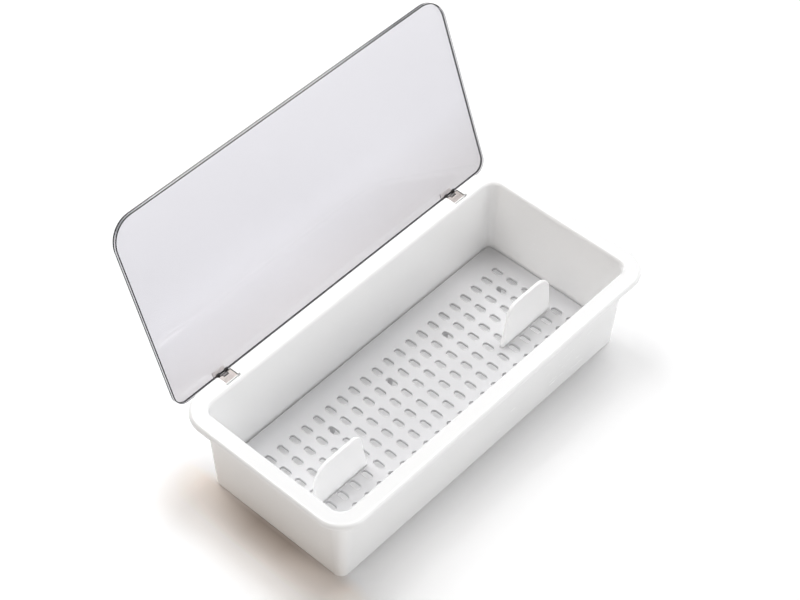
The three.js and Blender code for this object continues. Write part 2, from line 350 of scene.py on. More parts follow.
class Shader:
    """A node tree under construction, with short ways to add and join nodes."""

    mix_inputs = (0, 6, 7)
    mix_result = 2

    def __init__(self, tree: NodeTree) -> None:
        """Keeps the tree."""
        self.tree = tree

    def node(self, kind: str, **values: object) -> Node:
        """Adds a node of Blender's kind and puts in its values."""
        return put(self.tree.nodes.new(kind), **values)

    def place(self) -> NodeSocket:
        """The place in the frame, in metres."""
        return self.node("ShaderNodeTexCoord").outputs["Object"]

    def axes(self) -> NodeOutputs:
        """The place's X, Y and Z, in metres."""
        return self.node("ShaderNodeSeparateXYZ", Vector=self.place()).outputs

    def blend(self, share: NodeSocket, first: object, second: object) -> NodeSocket:
        """Mixes two colours by a share.

        Args:
            share: output that gives the share of the second colour.
            first: a colour, or an output that gives one.
            second: a colour, or an output that gives one.

        Returns:
            The output with the mixed colour.
        """
        made = self.node("ShaderNodeMix", data_type="RGBA")
        for place, value in zip(self.mix_inputs, (share, first, second)):
            feed(made.inputs[place], value)
        return made.outputs[self.mix_result]

    def ramp(
        self, source: NodeSocket, reach: tuple[float, ...], results: tuple = (0.0, 1.0)
    ) -> NodeSocket:
        """Spreads the values over a reach in a straight line, held at both ends.

        Args:
            source: output to read.
            reach: values that give the first and the last result.
            results: first and last result.

        Returns:
            The output with the result.
        """
        made = self.node(
            "ShaderNodeMapRange", Value=source, From_Min=reach[0], From_Max=reach[1],
            To_Min=results[0], To_Max=results[1],
        )
        return made.outputs["Result"]

    def maths(self, operation: str, *values: object) -> NodeSocket:
        """A Math node's result on outputs or plain numbers.

        Args:
            operation: Blender's name of the operation.
            values: its operands.

        Returns:
            The output with the result.
        """
        made = self.node("ShaderNodeMath", operation=operation)
        for socket, value in zip(made.inputs, values):
            feed(socket, value)
        return made.outputs[0]


VALUE, VECTOR, COLOUR = "NodeSocketFloat", "NodeSocketVector", "NodeSocketColor"
MOTTLED = {
    "Vector": VECTOR, "Colour": COLOUR, "Other Colour": COLOUR, "Roughness": VALUE, "Spread": VALUE
}
SURFACE = {"Colour": COLOUR, "Roughness": VALUE, "Height": VALUE}


def shared_group(name: str, inputs: dict[str, str], outputs: dict[str, str]) -> Callable:
    """Makes a function that fills a node group into one that gives it, built at its first use.

    Args:
        name: name of the group.
        inputs: name of each input socket to its type.
        outputs: name of each output socket to its type.

    Returns:
        The decorator.
    """

    def wrap(fill: Callable[[Shader, NodeOutputs, Node], None]) -> Callable:
        """Keeps the function that fills the group.

        Args:
            fill: the function.

        Returns:
            The function that gives the group.
        """

        def group() -> NodeTree:
            """The group.

            Returns:
                The group.
            """
            if name not in bpy.data.node_groups:
                tree = bpy.data.node_groups.new(name, "ShaderNodeTree")
                for way, sockets in (("INPUT", inputs), ("OUTPUT", outputs)):
                    for label, kind in sockets.items():
                        tree.interface.new_socket(name=label, in_out=way, socket_type=kind)
                shader = Shader(tree)
                given = shader.node("NodeGroupInput").outputs
                fill(shader, given, shader.node("NodeGroupOutput"))
            return bpy.data.node_groups[name]

        return group

    return wrap


def mottle(
    shader: Shader, given: NodeOutputs, result: Node,
    noise: NodeSocket, reach: tuple[float, float],
) -> None:
    """Lets the colour and the roughness go over to their other values where a noise is high.

    Args:
        shader: helper on the group's tree.
        given: the group's inputs.
        result: the group's output node.
        noise: the noise.
        reach: its values at which the change starts and ends.
    """
    share = shader.ramp(noise, reach)
    spread = shader.maths("MULTIPLY", share, given["Spread"])
    put(
        result,
        Colour=shader.blend(share, given["Colour"], given["Other Colour"]),
        Roughness=shader.maths("ADD", given["Roughness"], spread),
    )


@shared_group("moulded_skin", MOTTLED | {"Flow Scale": VALUE, "Peel Scale": VALUE}, SURFACE)
def moulded_skin(shader: Shader, given: NodeOutputs, result: Node) -> None:
    """Skin of moulded plastic.

    Broad noise shifts the colour and gloss a little, as flow in the mould does, and a finer
    noise gives the shallow waviness that bends reflections.

    Args:
        shader: helper on the group's tree.
        given: the group's inputs.
        result: the group's output node.
    """
    flow = shader.node(
        "ShaderNodeTexNoise", Vector=given["Vector"], Scale=given["Flow Scale"], Detail=3.0, Roughness=0.55
    )
    mottle(shader, given, result, flow.outputs["Fac"], reach=(0.35, 0.68))
    peel = shader.node(
        "ShaderNodeTexNoise", Vector=given["Vector"], Scale=given["Peel Scale"], Detail=2.0, Roughness=0.5
    )
    put(result, Height=peel.outputs["Fac"])


@shared_group("hairlines", {"Vector": VECTOR}, {"Mask": VALUE})
def hairlines(shader: Shader, given: NodeOutputs, result: Node) -> None:
    """Fine wiping marks: noise, stretched along one direction and cut off high.

    Args:
        shader: helper on the group's tree.
        given: the group's inputs.
        result: the group's output node.
    """
    turned = shader.node(
        "ShaderNodeMapping", Vector=given["Vector"], Rotation=(0.0, 0.0, 0.35), Scale=(60.0, 1400.0, 900.0)
    )
    lines = shader.node(
        "ShaderNodeTexNoise", Vector=turned.outputs["Vector"], Scale=1.0, Detail=2.0, Roughness=0.6
    )
    cut, contrast = 0.62, 12.0
    over = shader.maths("SUBTRACT", lines.outputs["Fac"], cut)
    mask = shader.node("ShaderNodeMath", operation="MULTIPLY", use_clamp=True)
    feed(mask.inputs[0], over)
    feed(mask.inputs[1], contrast)
    put(result, Mask=mask.outputs[0])


@shared_group("drawn_metal", MOTTLED | {"Grain": VECTOR}, SURFACE)
def drawn_metal(shader: Shader, given: NodeOutputs, result: Node) -> None:
    """Grain of rolled or drawn steel: noise, long along the grain and fine across it.

    Args:
        shader: helper on the group's tree.
        given: the group's inputs.
        result: the group's output node.
    """
    drawn = shader.node("ShaderNodeVectorMath", operation="MULTIPLY")
    feed(drawn.inputs[0], given["Vector"])
    feed(drawn.inputs[1], given["Grain"])
    grain = shader.node(
        "ShaderNodeTexNoise", Vector=drawn.outputs["Vector"], Scale=1.0, Detail=3.0, Roughness=0.6
    )
    mottle(shader, given, result, grain.outputs["Fac"], reach=(0.3, 0.7))
    put(result, Height=grain.outputs["Fac"])


def wiped(shader: Shader, roughness: object, marks: float) -> NodeSocket:
    """Adds wiping marks of a strength to a roughness."""
    lines = shader.node("ShaderNodeGroup", node_tree=hairlines(), Vector=shader.place())
    return shader.maths("ADD", shader.maths("MULTIPLY", lines.outputs["Mask"], marks), roughness)


# Finishes


@dataclass(frozen=True)
class Finish:
    """A named finish with a material that is built at its first use."""

    name: str

    def fill(self, shader: Shader, principled: Node) -> None:
        """Sets the Principled node, in each finish in its own way."""
        raise NotImplementedError

    def material(self) -> Material:
        """The material.

        Returns:
            The material.
        """
        if self.name not in bpy.data.materials:
            material = bpy.data.materials.new(self.name)
            material.use_nodes = True
            self.fill(Shader(material.node_tree), material.node_tree.nodes["Principled BSDF"])
        return bpy.data.materials[self.name]


@dataclass(frozen=True)
class Mottled(Finish):
    """A finish of two mingled colours with a fine relief, which may have painted light: a glow though it is
    no lamp.
    """

    colour: Rgb
    other_colour: Rgb
    roughness: float
    spread: float
    relief: float
    # painted light: strength of a glow in the finish's own colour
    glow: float = 0.0

    def surface(
        self, shader: Shader, principled: Node, group: NodeTree, **scales: object
    ) -> NodeSocket:
        """Feeds colour and relief from a shared group, and the painted light as a glow.

        Args:
            shader: helper on the material's tree.
            principled: its Principled node.
            group: the shared group.
            scales: the group's other inputs.

        Returns:
            The output with the roughness.
        """
        made = shader.node(
            "ShaderNodeGroup", node_tree=group, Vector=shader.place(), Colour=self.colour,
            Other_Colour=self.other_colour, Roughness=self.roughness, Spread=self.spread, **scales,
        )
        bump = shader.node(
            "ShaderNodeBump", Strength=1.0, Distance=self.relief * METRES, Height=made.outputs["Height"]
        )
        # the glow is painted light, not a lamp
        put(
            principled, Base_Color=made.outputs["Colour"], Normal=bump.outputs["Normal"],
            Emission_Color=self.colour, Emission_Strength=self.glow,
        )
        return made.outputs["Roughness"]


@dataclass(frozen=True)
class MouldedPlastic(Mottled):
    """White moulded plastic with flow marks, shallow waviness and fine wiping marks."""

    spread: float = 0.05
    relief: float = 0.012
    flow_scale: float = 18.0
    peel_scale: float = 420.0
    marks: float = 0.04
    coat: float = 0.25
    coat_roughness: float = 0.08
    index: float = 1.49
    scatter: float = 0.0

    def fill(self, shader: Shader, principled: Node) -> None:
        """Sets the Principled node. A thin part can scatter light over some millimetres.

        Args:
            shader: helper on the material's tree.
            principled: its Principled node.
        """
        rough = self.surface(
            shader, principled, moulded_skin(), Flow_Scale=self.flow_scale, Peel_Scale=self.peel_scale
        )
        put(
            principled, Roughness=wiped(shader, rough, self.marks), IOR=self.index,
            Coat_Weight=self.coat, Coat_Roughness=self.coat_roughness,
        )
        if self.scatter:
            scale = self.scatter * METRES
            put(principled, Subsurface_Weight=1.0, Subsurface_Scale=scale, Subsurface_Radius=(1.0,) * 3)


@dataclass(frozen=True)
class DrawnSteel(Mottled):
    """Stainless steel with the grain of its rolling or drawing."""

    spread: float = 0.12
    relief: float = 0.004
    grain: Rgb = (300.0, 9000.0, 9000.0)

    def fill(self, shader: Shader, principled: Node) -> None:
        """Sets the Principled node from the drawn metal group."""
        rough = self.surface(shader, principled, drawn_metal(), Grain=self.grain)
        put(principled, Roughness=rough, Metallic=1.0)


@dataclass(frozen=True)
class ClearSheet(Finish):
    """Thin clear acrylic with fine wiping marks, tinted by what light loses on its way through.

    A thin sheet hardly shifts what is behind it, so its body bends light little, and its gloss
    comes from a coat with the index of acrylic.
    """

    tint: Rgb
    roughness: float = 0.015
    marks: float = 0.05
    body_index: float = 1.08
    gloss: float = 1.0
    gloss_index: float = 1.49

    def tone(self, shader: Shader) -> object:
        """The colour, or the output that gives it."""
        return self.tint

    def fill(self, shader: Shader, principled: Node) -> None:
        """Sets the Principled node.

        Args:
            shader: helper on the material's tree.
            principled: its Principled node.
        """
        put(
            principled, Base_Color=self.tone(shader), Roughness=wiped(shader, self.roughness, self.marks),
            Metallic=0.0, Transmission_Weight=1.0, IOR=self.body_index, Coat_Weight=self.gloss,
            Coat_Roughness=self.roughness, Coat_IOR=self.gloss_index,
        )


@dataclass(frozen=True)
class ReflectionPaintedSheet(ClearSheet):
    """A sheet with a painted reflection, dimmer and warmer towards the hinge, where the box mirrors in it.

    The share of the painted reflection's tint falls in a straight line over a reach of heights, in
    millimetres with the lid open.
    """

    painted_reflection_tint: Rgb = (0.565, 0.55, 0.565)
    reflection_fade: tuple[float, float] = (70.0, 112.0)

    def tone(self, shader: Shader) -> NodeSocket:
        """The tint, mixed by height with the painted reflection's tint."""
        share = shader.ramp(shader.axes()["Z"], metres(self.reflection_fade), (1.0, 0.0))
        return shader.blend(share, self.tint, self.painted_reflection_tint)


@dataclass(frozen=True)
class PaintedEdgeBand(ClearSheet):
    """The flat of the polished edge, painted light: dimmer along the left side, dark at the far corners.

    There the painted shade stands for the round outline bending the light away. Darkness is a
    rise with height times the larger of two rises towards the ends, and at least the side's.
    The reaches are millimetres with the lid open.
    """

    painted_shade_tint: Rgb = (0.12, 0.12, 0.125)
    rise: tuple[float, float] = (160.0, 174.0)
    right_end: tuple[float, float] = (35.0, 95.0)
    left_end: tuple[float, float] = (-95.0, -122.0)
    left_side: tuple[float, float] = (-126.0, -131.0)
    side_share: float = 0.6

    def tone(self, shader: Shader) -> NodeSocket:
        """The tint, mixed with the painted shade by the place along the edge.

        Args:
            shader: helper on the material's tree.

        Returns:
            The output with the tint.
        """
        axes = shader.axes()
        high, right, left, side = (
            shader.ramp(axes[axis], metres(reach), (0.0, most))
            for axis, reach, most in (
                ("Z", self.rise, 1.0), ("X", self.right_end, 1.0), ("X", self.left_end, 1.0),
                ("X", self.left_side, self.side_share),
            )
        )
        corner = shader.maths("MULTIPLY", high, shader.maths("MAXIMUM", right, left))
        return shader.blend(shader.maths("MAXIMUM", corner, side), self.tint, self.painted_shade_tint)


TUB_WHITE = MouldedPlastic("tub_white", (0.962, 0.962, 0.96), (0.95, 0.952, 0.952), roughness=0.2)
# painted light: the inner walls glow a little, standing in for light bounced round inside
TUB_INSIDE_GLOW = replace(TUB_WHITE, name="tub_inside_white", glow=0.045)
# painted light: the floor under the tray glows, standing in for light passed through the tray's plate
TUB_FLOOR_GLOW = replace(TUB_WHITE, name="tub_floor_white", glow=0.22)
# painted shade: the plate is grey, a shaded copy of the fins' white plastic
TRAY_PLATE_SHADE = MouldedPlastic(
    "tray_plate_white", (0.665, 0.66, 0.67), (0.645, 0.645, 0.655), roughness=0.3, relief=0.02, coat=0.1
)
# painted light: the fins are a lighter copy of the plate's plastic, and glow
TRAY_FIN_LIGHT = replace(
    TRAY_PLATE_SHADE, name="tray_fin_white", colour=(0.985, 0.985, 0.98), other_colour=(0.975, 0.975, 0.972),
    scatter=6.0, glow=0.12,
)
# painted reflection: the sheet's tint is darker and warmer towards the hinge
LID_CLEAR = ReflectionPaintedSheet("lid_clear", tint=(0.685, 0.68, 0.715))
# painted shade: near-black lines on the clear edge, which only looks dark there
LID_SHADE_LINE = ClearSheet("lid_edge_line", tint=(0.002, 0.002, 0.0025), gloss=0.0)
# painted light on the edge's flat, with painted shade at the far corners and along the left side
LID_BAND = PaintedEdgeBand("lid_edge_band", tint=(0.85, 0.85, 0.86))
LEAF_STEEL = DrawnSteel("leaf_steel", (0.3, 0.275, 0.265), (0.24, 0.22, 0.21), roughness=0.4)
# painted light: the clip is a much lighter copy of the leaf's steel, standing in for light on it seen
# through the sheet
CLIP_STEEL_LIT = replace(
    LEAF_STEEL, name="clip_steel", colour=(0.96, 0.94, 0.93), other_colour=(0.86, 0.84, 0.83), roughness=0.65
)
# painted reflection: the grip's face on the sheet glows, standing in for the white front mirrored in it
CLIP_INSIDE_REFLECTION = replace(CLIP_STEEL_LIT, name="clip_inside_steel", glow=0.42)
# painted shade: dark steel on the rolled knuckles, the strips' cut sides and the clip under the sheet
SHADE_STEEL = replace(
    LEAF_STEEL, name="dull_steel", colour=(0.16, 0.15, 0.15), other_colour=(0.05, 0.05, 0.05)
)
PIN_STEEL = DrawnSteel(
    "pin_steel", (0.3, 0.29, 0.29), (0.12, 0.12, 0.12), roughness=0.25, grain=(9000.0, 900.0, 900.0)
)


def dress_faces(
    mesh: Mesh, finishes: tuple[Finish, ...], pick: Callable[[MeshPolygon], int]
) -> None:
    """Gives every face of a piece one of its finishes.

    Args:
        mesh: the piece's mesh.
        finishes: the finishes.
        pick: tells the place of a face's finish among them.
    """
    for finish in finishes:
        mesh.materials.append(finish.material())
    for face in mesh.polygons:
        face.material_index = pick(face)


# Pieces


@dataclass
class Tub:
    """The moulded tub: drafted walls, a broad rim with a lip, and seats for the hinges."""

    mouth_length: float = 248.0
    mouth_width: float = 106.4
    mouth_corner: float = 7.3
    height: float = 67.0
    wall: float = 2.2
    draft: float = 4.0
    floor: float = 2.5
    floor_fillet: float = 3.0
    foot_round: float = 2.0
    rim_width: float = 11.2
    rim_thickness: float = 3.2
    rim_edge_round: float = 2.2
    mouth_round: float = 2.5
    lip_drop: float = 4.2
    lip_thickness: float = 1.8
    lip_edge_round: float = 0.4
    rim_root_round: float = 1.0
    corner_steps: int = 24
    round_steps: int = 8

    def loop(self) -> tuple[np.ndarray, np.ndarray, np.ndarray]:
        """The mouth's outline, from which every level is offset.

        Returns:
            What corner_loop gives.
        """
        half_width = self.mouth_width / 2
        return corner_loop(
            self.mouth_length / 2, -half_width, half_width, self.mouth_corner, self.mouth_corner,
            self.corner_steps,
        )

    def inner(self, z: float) -> float:
        """Offset of the inner wall at height z: the draft grows in a straight line to the foot."""
        return -self.draft * (1.0 - z / self.height)

    def profile(self) -> np.ndarray:
        """Offsets and heights from the underside up the outside, over the rim and down inside.

        Straight runs join quarter circles at the foot, under the rim, at the lip, on the rim's
        edge, at the mouth and round the floor.

        Returns:
            Array of (offset, height).
        """
        steps = self.round_steps
        under = self.height - self.rim_thickness
        root = under - self.rim_root_round
        lip_in = self.rim_width - self.lip_thickness
        lip_low = self.height - self.lip_drop
        lip_r = self.lip_edge_round
        mouth = self.height - self.mouth_round
        fillet = self.floor + self.floor_fillet
        foot_out = self.wall + self.inner(self.foot_round) - self.foot_round
        root_out = self.wall + self.inner(root) + self.rim_root_round
        edge_out = self.rim_width - self.rim_edge_round
        edge_up = self.height - self.rim_edge_round
        return np.concatenate([
            arc(foot_out, self.foot_round, self.foot_round, -QUARTER, 0.0, steps),
            arc(root_out, root, self.rim_root_round, 2 * QUARTER, QUARTER, steps),
            [[lip_in, under]],
            arc(lip_in + lip_r, lip_low + lip_r, lip_r, 2 * QUARTER, 3 * QUARTER, steps // 2),
            arc(self.rim_width - lip_r, lip_low + lip_r, lip_r, -QUARTER, 0.0, steps // 2),
            arc(edge_out, edge_up, self.rim_edge_round, 0.0, QUARTER, steps),
            arc(self.inner(mouth) + self.mouth_round, mouth, self.mouth_round, QUARTER, 2 * QUARTER, steps),
            arc(self.inner(fillet) - self.floor_fillet, fillet, self.floor_fillet, 0.0, -QUARTER, steps),
        ])

    def region(self, face: MeshPolygon) -> int:
        """Tells whether a face is outside (0), on an inner wall (1) or on the floor (2).

        Args:
            face: the face, in its place in the frame.

        Returns:
            The region's number.
        """
        x, y, z = face.center / METRES
        across = face.normal.xy
        if z < self.floor + self.floor_fillet / 2 and face.normal.z > across.length:
            return 2
        in_mouth = abs(x) < self.mouth_length / 2 and abs(y) < self.mouth_width / 2
        return int(in_mouth and across.dot(face.center.xy) < 0.0)

    def build(self, hinges: "Hinges") -> Object:
        """Makes, cuts and dresses the tub.

        Args:
            hinges: the hinge sizes, which set the seats cut in the rim.

        Returns:
            The tub.
        """
        tub = mesh_object("tub_shell", [skin(offset_rings(self.loop(), self.profile()))])
        seats = [
            mesh_object(f"seat_{side.name}_{k}", [tool.moved(x=side.value * hinges.place)])
            for side in Side
            for k, tool in enumerate(hinges.seat_tools(self))
        ]
        work_in(tub, seats, Solid.CUT)
        # the inner walls and the floor take the finishes with painted light
        dress_faces(tub.data, (TUB_WHITE, TUB_INSIDE_GLOW, TUB_FLOOR_GLOW), self.region)
        settle(tub, Body.BOX, "tub", ["tub"])
        return tub


@dataclass
class DrainTray:
    """The lift-out tray: a slotted plate with a skirt, short posts and two upright fins."""

    tub: Tub
    top: float = 14.0
    thickness: float = 2.0
    skirt_depth: float = 2.4
    skirt: float = 1.8
    wall_gap: float = 0.8
    seat_gap: float = 0.3
    edge_round: float = 0.6
    pitch: float = 10.1
    row_pitch: float = 12.0
    slot_width: float = 3.8
    bar: float = 4.2
    border: float = 7.7
    slot_round: float = 0.45
    slot_steps: int = 8
    post_top: float = 1.9
    post_foot: float = 1.5
    post_stride: int = 5
    fin_foot_inner: float = 59.8
    fin_foot_outer: float = 105.0
    fin_crown_inner: float = 66.0
    fin_crown_outer: float = 102.0
    fin_height: float = 33.0
    fin_inner_shoulder: float = 8.0
    fin_outer_shoulder: float = 13.0
    fin_root: float = 2.8
    fin_crown: float = 2.2
    fin_edge_round: float = 0.8
    fin_flare: float = 0.6
    finish_margin: float = 0.06
    offset: float = field(init=False)
    half_length: float = field(init=False)
    half_width: float = field(init=False)
    columns: int = field(init=False)
    rows: int = field(init=False)

    def __post_init__(self) -> None:
        """Derives the plan from the tub's inner wall at the foot of the skirt."""
        self.offset = self.tub.inner(self.top - self.thickness - self.skirt_depth) - self.wall_gap
        self.half_length = self.tub.mouth_length / 2 + self.offset
        self.half_width = self.tub.mouth_width / 2 + self.offset
        self.columns = int((self.half_length - self.border) / self.pitch)
        self.rows = int((self.half_width - self.border) / self.row_pitch)

    def slot_cells(self) -> tuple[np.ndarray, np.ndarray]:
        """Centre x and lowest y of every slot's cell.

        Returns:
            The two arrays, one value for each cell.
        """
        x = (np.arange(-self.columns, self.columns) + 1 / 2) * self.pitch
        low = np.arange(-self.rows, self.rows) * self.row_pitch
        x_all, low_all = np.meshgrid(x, low)
        return x_all.ravel(), low_all.ravel()

    def slotted_plate(self) -> Surface:
        """All cells of the plate, each a rectangle with a round-ended slot through it.

        Each cell is a grid of levels: rectangle at the top, the slot's rounded mouth, the slot's
        wall, and the rectangle underneath. Point k of the slot's end arcs, at angle t, belongs
        to the rectangle's point in the same eighth of the turn, so neighbouring cells share
        their points.

        Returns:
            The surface.
        """
        x, cell_low = self.slot_cells()
        cell_high = cell_low + self.row_pitch
        low = cell_low + self.bar / 2
        high = cell_high - self.bar / 2
        steps = self.slot_steps
        half_turn = np.linspace(0.0, 2 * QUARTER, steps + 1)
        angle = np.concatenate([half_turn, half_turn + 2 * QUARTER])
        upper = np.repeat([1.0, 0.0], steps + 1)
        radius = self.slot_width / 2
        end_y = np.where(upper, (high - radius)[:, None], (low + radius)[:, None])
        reach = np.maximum(np.abs(np.cos(angle)), np.abs(np.sin(angle)))
        square_x = np.cos(angle) / reach
        square_y = np.abs(np.sin(angle) / reach)
        edge_y = np.where(upper, cell_high[:, None], cell_low[:, None])
        rectangle = np.stack(
            [x[:, None] + self.pitch / 2 * square_x, end_y + (edge_y - end_y) * square_y], axis=-1
        )

        def ring(grow: float) -> np.ndarray:
            """The slot's outline, grown by a length."""
            across = x[:, None] + (radius + grow) * np.cos(angle)
            return np.stack([across, end_y + (radius + grow) * np.sin(angle)], axis=-1)

        lip_steps = self.slot_steps // 2
        lip = arc(self.slot_round, -self.slot_round, self.slot_round, QUARTER, 2 * QUARTER, lip_steps)
        bottom = self.top - self.thickness
        plans = [rectangle] + [ring(grow) for grow, _ in lip] + [ring(0.0), rectangle]
        heights = [self.top] + [self.top + drop for _, drop in lip] + [bottom, bottom]
        levels = np.stack([at_height(plan, z) for plan, z in zip(plans, heights)], axis=1)
        cells, count, around = levels.shape[:3]
        index = np.arange(cells * count * around).reshape(cells, count, around)
        beside = np.roll(index, -1, axis=2)
        quads = np.stack([beside[:, :-1], index[:, :-1], index[:, 1:], beside[:, 1:]], axis=-1)
        return Surface(levels.reshape(-1, 3), quads[..., ::-1].reshape(-1, 4).tolist())

    def frame_surface(self) -> Surface:
        """The plain border and the skirt, from the cells' edge out, down and back underneath.

        Returns:
            The surface, open towards the cells.
        """
        cells_x = self.columns * self.pitch
        cells_y = self.rows * self.row_pitch
        centre, *_ = corner_loop(cells_x, -cells_y, cells_y, 0.0, 0.0, self.tub.corner_steps)
        bottom = self.top - self.thickness
        skirt_foot = bottom - self.skirt_depth
        edge = self.edge_round
        foot = self.skirt / 2
        profile = np.concatenate([
            arc(self.offset - edge, self.top - edge, edge, QUARTER, 0.0, self.tub.round_steps),
            arc(self.offset - foot, skirt_foot + foot, foot, 0.0, -2 * QUARTER, self.tub.round_steps),
            [[self.offset - self.skirt, bottom]],
        ])
        first, last = (at_height(centre, z)[None] for z in (self.top, bottom))
        rings = np.concatenate([first, offset_rings(self.tub.loop(), profile), last])
        return skin(rings[::-1], capped=False)

    def fin_reach(
        self, z: np.ndarray, foot: float, crown: float, shoulder: float, outward: float
    ) -> np.ndarray:
        """Where one end of a fin lies at each height.

        A straight line runs from the foot towards the crown. Above the tangent point the end
        follows a circle that touches that line and the crown.

        Args:
            z: heights.
            foot: the line's place at the tray.
            crown: the line's place at the crown's height.
            shoulder: radius of the circle.
            outward: 1 for the outer end, -1 for the inner end.

        Returns:
            Distances from the middle of the box.
        """
        length = math.hypot(crown - foot, self.fin_height)
        lean = outward * (crown - foot) / length
        rise = self.fin_height / length
        centre_z = self.top + self.fin_height - shoulder
        straight = foot + (z - self.top) * (crown - foot) / self.fin_height
        centre = foot - outward * (shoulder - (centre_z - self.top) * lean) / rise
        curved = centre + outward * np.sqrt(np.maximum(0.0, shoulder**2 - (z - centre_z) ** 2))
        return np.where(z < centre_z - shoulder * lean, straight, curved)

    def fin_half(self, z: np.ndarray) -> np.ndarray:
        """Half the thickness: a straight taper, plus the foot's flare, less the crown's round.

        Args:
            z: heights.

        Returns:
            Half the thickness at each height.
        """
        up = (z - self.top) / self.fin_height
        tapered = (self.fin_root + (self.fin_crown - self.fin_root) * up) / 2
        over_flare = np.maximum(0.0, self.fin_flare - (z - self.top))
        flare = self.fin_flare - np.sqrt(self.fin_flare**2 - over_flare**2)
        over_edge = np.maximum(0.0, z - (self.top + self.fin_height - self.fin_edge_round))
        edge = self.fin_edge_round - np.sqrt(self.fin_edge_round**2 - over_edge**2)
        return tapered + flare - edge

    def fin_surface(self, side: Side) -> Surface:
        """A fin as a stack of round-ended levels, on the bar in front of the first slots.

        Args:
            side: the end of the box.

        Returns:
            The surface.
        """
        crown = self.top + self.fin_height
        finer, places = 3, 6
        eased = np.linspace(0.0, QUARTER, finer * self.tub.round_steps + 1)
        z = np.unique(np.concatenate([
            self.top + self.fin_flare * (1 - np.cos(eased[::finer])),
            crown - self.fin_outer_shoulder * (1 - np.sin(eased)),
            crown - self.fin_edge_round * (1 - np.sin(eased[::finer])),
        ]).clip(self.top, crown).round(places))
        half = self.fin_half(z)[:, None]
        inner, outer = (
            self.fin_reach(z, foot, crown_end, shoulder, outward)
            for foot, crown_end, shoulder, outward in (
                (self.fin_foot_inner, self.fin_crown_inner, self.fin_inner_shoulder, -1.0),
                (self.fin_foot_outer, self.fin_crown_outer, self.fin_outer_shoulder, 1.0),
            )
        )
        low, high = (inner, outer) if side is Side.RIGHT else (-outer, -inner)
        turn = np.linspace(-QUARTER, QUARTER, self.slot_steps + 1)
        x = np.concatenate([
            (high[:, None] - half) + half * np.cos(turn), (low[:, None] + half) - half * np.cos(turn)
        ], axis=1)
        y = -self.row_pitch + np.concatenate([half * np.sin(turn), -half * np.sin(turn)], axis=1)
        rings = np.stack([x, y, np.broadcast_to(z[:, None], x.shape)], axis=-1)
        sunk = rings[:1] - np.array([0.0, 0.0, self.thickness / 2])
        return skin(np.concatenate([sunk, rings]))

    def post_surfaces(self) -> list[Surface]:
        """The short tapered posts that carry the plate over the tub's floor.

        Returns:
            The posts.
        """
        low = self.tub.floor + self.seat_gap
        high = self.top - self.thickness / 2
        profile = np.array([[self.post_foot, low], [self.post_top, high]])
        post = skin(offset_rings(circle(2 * self.slot_steps), profile))
        bar_y = (self.rows - 1) * self.row_pitch
        stride = self.post_stride * self.pitch
        along = self.columns // self.post_stride
        return [
            post.moved(x=k * stride, y=y) for k in range(-along, along + 1) for y in (-bar_y, bar_y)
        ]

    def build(self) -> Object:
        """Makes and dresses the tray with its fins and posts.

        Returns:
            The tray.
        """
        surfaces = [self.slotted_plate(), self.frame_surface(), *self.post_surfaces()]
        surfaces += [self.fin_surface(side) for side in Side]
        tray = mesh_object("slotted_tray", surfaces)
        fins_from = (self.top + self.finish_margin) * METRES
        # painted light and shade: faces above the plate take the fins' lighter finish, the rest the plate's
        # grey one
        dress_faces(tray.data, (TRAY_PLATE_SHADE, TRAY_FIN_LIGHT), lambda face: int(face.center.z > fins_from))
        settle(tray, Body.TRAY, "drain_tray", ["drain_tray"])
        return tray


